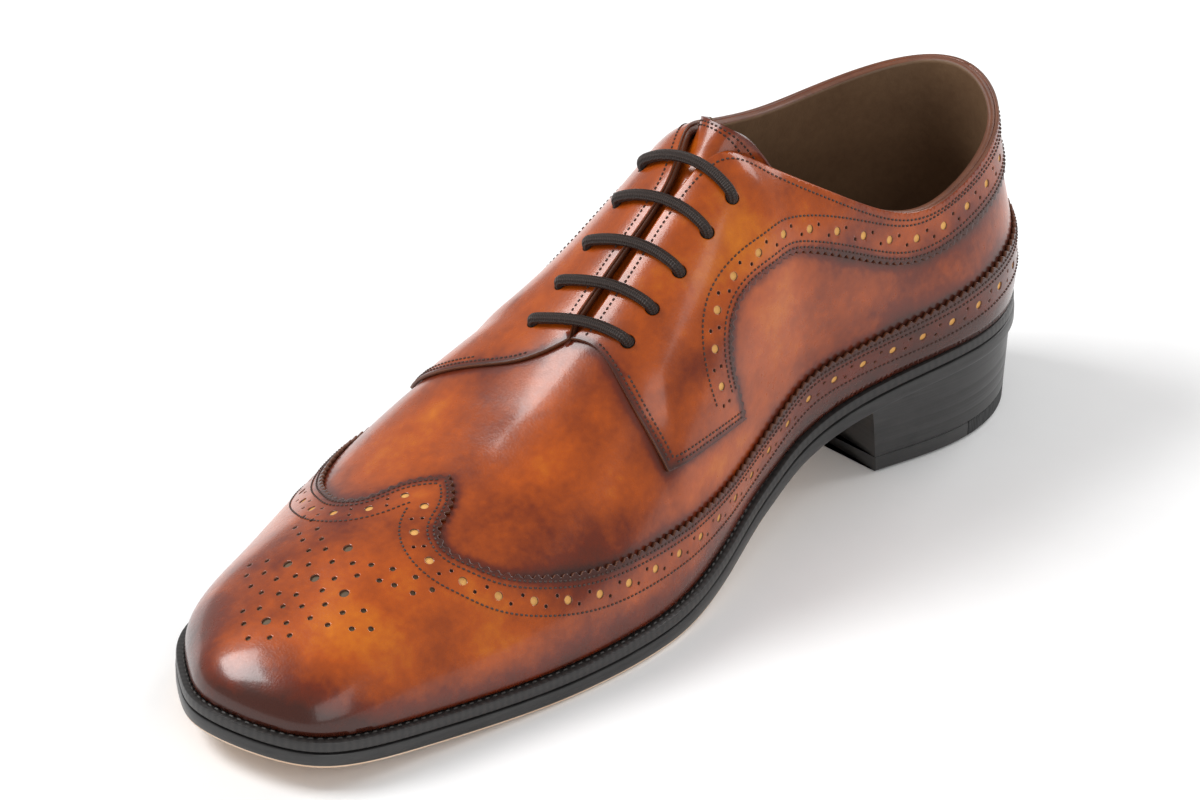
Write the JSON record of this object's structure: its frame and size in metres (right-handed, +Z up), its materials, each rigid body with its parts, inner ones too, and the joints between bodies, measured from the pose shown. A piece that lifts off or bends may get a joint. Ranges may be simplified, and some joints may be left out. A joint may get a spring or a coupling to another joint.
{
  "type": "brogue shoe",
  "caption": "Longwing derby brogue shoe in burnished tan leather, laced over a tongue, on a welted sole with a stacked heel; the foot goes in through the collar.",
  "frame": {"origin": "bottom centre of the shoe's bounding box, on the floor that it stands on", "axes": "+Y from the toe to the heel, +Z up, +X towards the inner side of this right shoe"},
  "size_m": [0.1084, 0.3066, 0.1183],
  "materials": {
    "burnished_leather": "burnished and polished tan calf",
    "brogued_leather": "burnished and polished tan calf, punched",
    "lining_leather": "matt brown lining leather",
    "black_edge": "inked and waxed sole edge",
    "heel_black": "inked and waxed stacked lifts",
    "rubber": "matt black, ribbed",
    "waxed_lace": "round waxed cotton lace, dark brown"
  },
  "bodies": {
    "root": {"upper": "burnished_leather", "wing_cap": "brogued_leather", "facing_inner": "burnished_leather", "facing_outer": "burnished_leather", "outsole": "black_edge", "welt": "black_edge", "insole": "lining_leather", "tongue": "lining_leather", "heel_block": "heel_black", "heel_rubber": "rubber", "heel_front_lift": "rubber", "lace_bar_1": "waxed_lace", "lace_bar_2": "waxed_lace", "lace_bar_3": "waxed_lace", "lace_bar_4": "waxed_lace", "lace_bar_5": "waxed_lace"}
  },
  "joints": []
}
